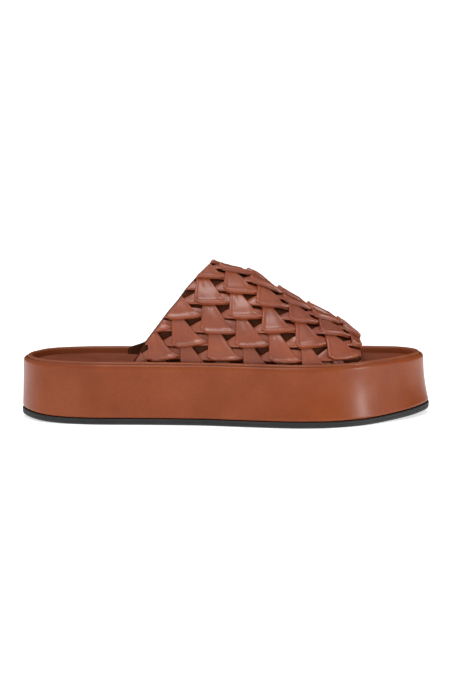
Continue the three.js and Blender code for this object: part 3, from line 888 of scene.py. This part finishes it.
def long_strip(j, rng):
    """A strip along the foot, under the necks and, fuller, under the lower halves of the tiles."""
    knots = long_knots(j, rng)
    x = np.arange(max(knots[0, 0], -92), min(knots[-1, 0], 112), LONG_STEP)
    middle, bottom, top = (running_mean(np.interp(x, knots[:, 0], knots[:, c]))[:, None]
                           for c in (1, 2, 3))
    half = np.full_like(top, LONG_HALF)
    across, over, w = across_strip(bottom, top, half, half, np.linspace(-1, 1, 11))
    feet = [cross_x(i, long_s(j)) for i in range(CROSS_COUNT)]
    column = np.interp(x, feet, range(CROSS_COUNT))
    s = hem_s(j - 1) + hem_rise(column)[:, None] + across
    x = np.broadcast_to(x[:, None], s.shape)
    # the lower edge stands out, and the upper one sinks in
    height = middle + over + 0.35 * bump_at(across - bottom, 1.2, 1.0)
    height = height - 0.7 * np.clip(w, 0, 1) ** 1.5
    height = height + 0.1 * waves(x, s, 0, 8, any_seed(rng))
    return trimmed_mesh(x, s, height * settled(x, s))


def long_strips(material):
    """The strips along the foot, from the topline to the toe edge."""
    rng = np.random.default_rng(LONG_SEED)
    for j in range(LONG_COUNT):
        node = f"long_strip_{j + 1:02d}"
        points, faces = long_strip(j, rng)
        piece = make_mesh(f"woven_{node}", points, faces, material, weld=FINE_WELD)
        finish_piece(piece, "strip_leather", node)


# ---- materials ----

class Nodes:
    """A material's node tree, with short calls for its nodes and links."""

    def __init__(self, name):
        self.material = bpy.data.materials.new(name)
        self.material.use_nodes = True
        self.tree = self.material.node_tree
        self.tree.nodes.clear()
        self.shader = self.add("ShaderNodeBsdfPrincipled")
        output = self.add("ShaderNodeOutputMaterial")
        self.link(self.shader, "BSDF", output, "Surface")
        self.where = self.add("ShaderNodeTexCoord")

    def add(self, kind, **settings):
        node = self.tree.nodes.new(kind)
        for key, value in settings.items():
            setattr(node, key, value)
        return node

    def link(self, a, out, b, into):
        self.tree.links.new(a.outputs[out], b.inputs[into])

    def noise(self, scale, detail, roughness):
        node = self.add("ShaderNodeTexNoise")
        node.inputs["Scale"].default_value = scale
        node.inputs["Detail"].default_value = detail
        node.inputs["Roughness"].default_value = roughness
        self.link(self.where, "Object", node, "Vector")
        return node

    def ramp(self, source, out, stops):
        node = self.add("ShaderNodeValToRGB")
        ramp = node.color_ramp
        for k, (at, colour) in enumerate(stops):
            stop = ramp.elements[k] if k < 2 else ramp.elements.new(at)
            stop.position = at
            stop.color = (*colour, 1)
        self.link(source, out, node, "Fac")
        return node

    def mix_colour(self, kind, share, a, b):
        node = self.add("ShaderNodeMix", data_type="RGBA", blend_type=kind)
        node.inputs["Factor"].default_value = share
        self.tree.links.new(a, node.inputs["A"])
        self.tree.links.new(b, node.inputs["B"])
        return node.outputs["Result"]

    def bump(self, height, strength, distance, below=None):
        node = self.add("ShaderNodeBump")
        node.inputs["Strength"].default_value = strength
        node.inputs["Distance"].default_value = distance
        self.tree.links.new(height, node.inputs["Height"])
        if below is not None:
            self.link(below, "Normal", node, "Normal")
        return node


def srgb(r, g, b):
    """A colour given in 0..255, made linear."""
    return tuple(((c / 255 + 0.055) / 1.055) ** 2.4 if c > 10 else c / 255 / 12.92
                 for c in (r, g, b))


def grey(v):
    return (v, v, v)


def leather(name, tones, roughness, grain, coat, gloss_level, edge_wear_and_shade=0.35):
    """Dyed leather: mottled, with a fine pebbled grain, creases, paler rubbed edges and painted
    shade in hollows.

    tones are its dark, middle and light colours."""
    n = Nodes(name)
    blotch = n.noise(38, 4, 0.55)
    tone = n.ramp(blotch, "Fac", list(zip((0.28, 0.5, 0.74), tones)))
    fine = n.noise(900, 3, 0.6)
    speck = n.ramp(fine, "Fac", [(0.3, grey(0.9)), (0.7, grey(1.06))])
    colour = n.mix_colour("MULTIPLY", 1, tone.outputs["Color"], speck.outputs["Color"])
    # pointiness: rounded edges come out paler as rubbed wear, and hollows and creases darker as
    # painted shade
    shape = n.add("ShaderNodeNewGeometry")
    edge = n.ramp(shape, "Pointiness", [(0.44, grey(0.62)), (0.5, grey(1.0)), (0.57, grey(1.22))])
    colour = n.mix_colour("MULTIPLY", edge_wear_and_shade, colour, edge.outputs["Color"])
    n.tree.links.new(colour, n.shader.inputs["Base Color"])
    pebble = n.add("ShaderNodeTexVoronoi", feature="SMOOTH_F1")
    pebble.inputs["Scale"].default_value = 1150
    pebble.inputs["Smoothness"].default_value = 0.6
    warp = n.noise(420, 2, 0.5)
    bend = n.add("ShaderNodeVectorMath", operation="MULTIPLY_ADD")
    bend.inputs[1].default_value = (0.0006, 0.0006, 0.0006)
    n.link(warp, "Color", bend, 0)
    n.link(n.where, "Object", bend, 2)
    n.link(bend, "Vector", pebble, "Vector")
    first = n.bump(pebble.outputs["Distance"], grain, 0.00025)
    crease = n.noise(160, 5, 0.6)
    second = n.bump(crease.outputs["Fac"], grain * 0.9, 0.0006, first)
    n.link(second, "Normal", n.shader, "Normal")
    gloss = n.ramp(blotch, "Fac", [(0.3, grey(roughness + 0.07)), (0.7, grey(roughness - 0.05))])
    n.link(gloss, "Color", n.shader, "Roughness")
    n.shader.inputs["Coat Weight"].default_value = coat
    n.shader.inputs["Coat Roughness"].default_value = 0.26
    n.shader.inputs["Specular IOR Level"].default_value = gloss_level
    return n.material


def rubber(name):
    """Moulded black rubber with a fine matt texture."""
    n = Nodes(name)
    cloud = n.noise(60, 4, 0.6)
    tone = n.ramp(cloud, "Fac", [(0.3, srgb(9, 9, 11)), (0.7, srgb(20, 19, 21))])
    n.link(tone, "Color", n.shader, "Base Color")
    grit = n.noise(1400, 2, 0.6)
    n.link(n.bump(grit.outputs["Fac"], 0.25, 0.0003), "Normal", n.shader, "Normal")
    gloss = n.ramp(cloud, "Fac", [(0.3, grey(0.66)), (0.7, grey(0.55))])
    n.link(gloss, "Color", n.shader, "Roughness")
    return n.material


def foam(name, dark, light, cells_per_metre):
    """Cut foam: small cells."""
    n = Nodes(name)
    cells = n.add("ShaderNodeTexVoronoi")
    cells.inputs["Scale"].default_value = cells_per_metre
    n.link(n.where, "Object", cells, "Vector")
    tone = n.ramp(cells, "Distance", [(0.1, dark), (0.5, light)])
    n.link(tone, "Color", n.shader, "Base Color")
    n.link(n.bump(cells.outputs["Distance"], 0.5, 0.0004), "Normal", n.shader, "Normal")
    n.shader.inputs["Roughness"].default_value = 0.9
    return n.material


def fibre_board(name):
    """Pressed fibre: short tangled flecks."""
    n = Nodes(name)
    fleck = n.noise(700, 6, 0.7)
    tone = n.ramp(fleck, "Fac", [(0.35, srgb(128, 100, 66)), (0.65, srgb(186, 158, 118))])
    n.link(tone, "Color", n.shader, "Base Color")
    n.link(n.bump(fleck.outputs["Fac"], 0.4, 0.0003), "Normal", n.shader, "Normal")
    n.shader.inputs["Roughness"].default_value = 0.92
    return n.material


def paint_node(name, material):
    """Gives a CAD node that stays its material."""
    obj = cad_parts[name]
    if not obj.material_slots:
        obj.data.materials.append(material)
    for slot in obj.material_slots:
        slot.material = material


# ---- studio, in metres ----

FLOOR_LEVEL = -0.0002  # a hair under the tread, so that the two faces don't coincide
FLOOR_HALF = 30.0
BRIGHT_SIDE = (-0.25, -0.4, 0.88)  # the sky is brightest overhead, a little to the heel and outside


def sky():
    world = bpy.data.worlds.new("studio")
    world.use_nodes = True
    nodes, links = world.node_tree.nodes, world.node_tree.links
    way = nodes.new("ShaderNodeTexCoord")
    towards = nodes.new("ShaderNodeVectorMath")
    towards.operation = "DOT_PRODUCT"
    towards.inputs[1].default_value = BRIGHT_SIDE
    level = nodes.new("ShaderNodeMapRange")
    for key, value in (("From Min", -0.2), ("From Max", 1), ("To Min", 0.0), ("To Max", 0.9)):
        level.inputs[key].default_value = value
    back = nodes["Background"]
    back.inputs["Color"].default_value = (1, 1, 1, 1)
    links.new(way.outputs["Generated"], towards.inputs[0])
    links.new(towards.outputs["Value"], level.inputs["Value"])
    links.new(level.outputs["Result"], back.inputs["Strength"])
    bpy.context.scene.world = world


def pale_floor():
    corners = [(x * FLOOR_HALF, y * FLOOR_HALF, FLOOR_LEVEL)
               for x, y in ((-1, -1), (1, -1), (1, 1), (-1, 1))]
    mesh = bpy.data.meshes.new("floor")
    mesh.from_pydata(corners, [], [[0, 1, 2, 3]])
    floor = bpy.data.objects.new("floor", mesh)
    bpy.context.scene.collection.objects.link(floor)
    paper = Nodes("pale_floor")
    tone = paper.ramp(paper.noise(3, 2, 0.5), "Fac", [(0.3, grey(0.93)), (0.7, grey(0.95))])
    paper.link(tone, "Color", paper.shader, "Base Color")
    paper.shader.inputs["Roughness"].default_value = 0.9
    paper.shader.inputs["Emission Color"].default_value = (1, 1, 1, 1)
    paper.shader.inputs["Emission Strength"].default_value = 0.62
    mesh.materials.append(paper.material)


def softbox(name, place, target, size, power):
    light = bpy.data.lights.new(name, "AREA")
    light.shape = "RECTANGLE"
    light.size, light.size_y = size
    light.energy = power
    lamp = bpy.data.objects.new(name, light)
    lamp.location = place
    lamp.rotation_euler = (Vector(target) - Vector(place)).to_track_quat("-Z", "Y").to_euler()
    bpy.context.scene.collection.objects.link(lamp)


def studio():
    bpy.context.scene.view_settings.view_transform = "Standard"
    sky()
    pale_floor()
    softbox("overhead", (-0.1, -0.35, 1.05), (0, 0, 0.05), (0.45, 0.6), 4.2)
    softbox("left_softbox", (-0.85, -0.8, 0.2), (-0.03, 0, 0.04), (0.12, 0.35), 0.5)
    softbox("right_softbox", (1.15, -0.36, 0.17), (0.05, 0, 0.04), (0.2, 0.3), 4.2)


CAMERA_DISTANCE, CAMERA_ELEVATION = 3.0, math.radians(8)
CAMERA_TARGET = Vector((-0.0009, 0.0, 0.054))
VIEW_HEIGHT = 0.45608  # what the picture's height takes in at the target
SENSOR_SIZE = 36.0  # of the camera's default sensor, in mm, along the picture's longer side


def camera():
    """Looks at the outer side from a little above, from far away through a long lens."""
    data = bpy.data.cameras.new("camera")
    data.lens = SENSOR_SIZE * CAMERA_DISTANCE / VIEW_HEIGHT
    cam = bpy.data.objects.new("camera", data)
    back = Vector((0, -math.cos(CAMERA_ELEVATION), math.sin(CAMERA_ELEVATION)))
    cam.location = CAMERA_TARGET + back * CAMERA_DISTANCE
    cam.rotation_euler = (-back).to_track_quat("-Z", "Y").to_euler()
    bpy.context.scene.collection.objects.link(cam)
    bpy.context.scene.camera = cam


# ---- assembly ----

camera()
studio()

wall_leather = leather(
    "wall_leather", (srgb(124, 55, 22), srgb(131, 61, 26), srgb(139, 68, 32)),
    roughness=0.36, grain=0.08, coat=0.25, gloss_level=0.12, edge_wear_and_shade=0.2)
rim_leather = leather(
    "rim_leather", (srgb(129, 62, 31), srgb(137, 69, 36), srgb(145, 77, 43)),
    roughness=0.4, grain=0.1, coat=0.25, gloss_level=0.2, edge_wear_and_shade=0.2)
strip_leather = leather(
    "strip_leather", (srgb(123, 55, 30), srgb(138, 66, 38), srgb(149, 76, 46)),
    roughness=0.34, grain=0.2, coat=0.25, gloss_level=0.5)
footbed_leather = leather(
    "footbed_leather", (srgb(112, 56, 38), srgb(124, 65, 46), srgb(134, 74, 54)),
    roughness=0.75, grain=0.25, coat=0, gloss_level=0.05)
lining_leather = leather(
    "lining_leather", (srgb(58, 27, 13), srgb(70, 34, 17), srgb(80, 41, 22)),
    roughness=0.75, grain=0.3, coat=0, gloss_level=0.1)

outsole(rubber("black_rubber"))
platform_wrap(wall_leather)
rim_binding(rim_leather)
footbed(footbed_leather, foam("cushion_foam", srgb(190, 176, 150), srgb(226, 216, 196), 1600))
vamp_lining(lining_leather)
cross_strips(strip_leather)
long_strips(strip_leather)
paint_node("platform_core", foam("platform_foam", srgb(158, 138, 112), srgb(196, 178, 152), 1100))
paint_node("insole_board", fibre_board("fibre_board"))
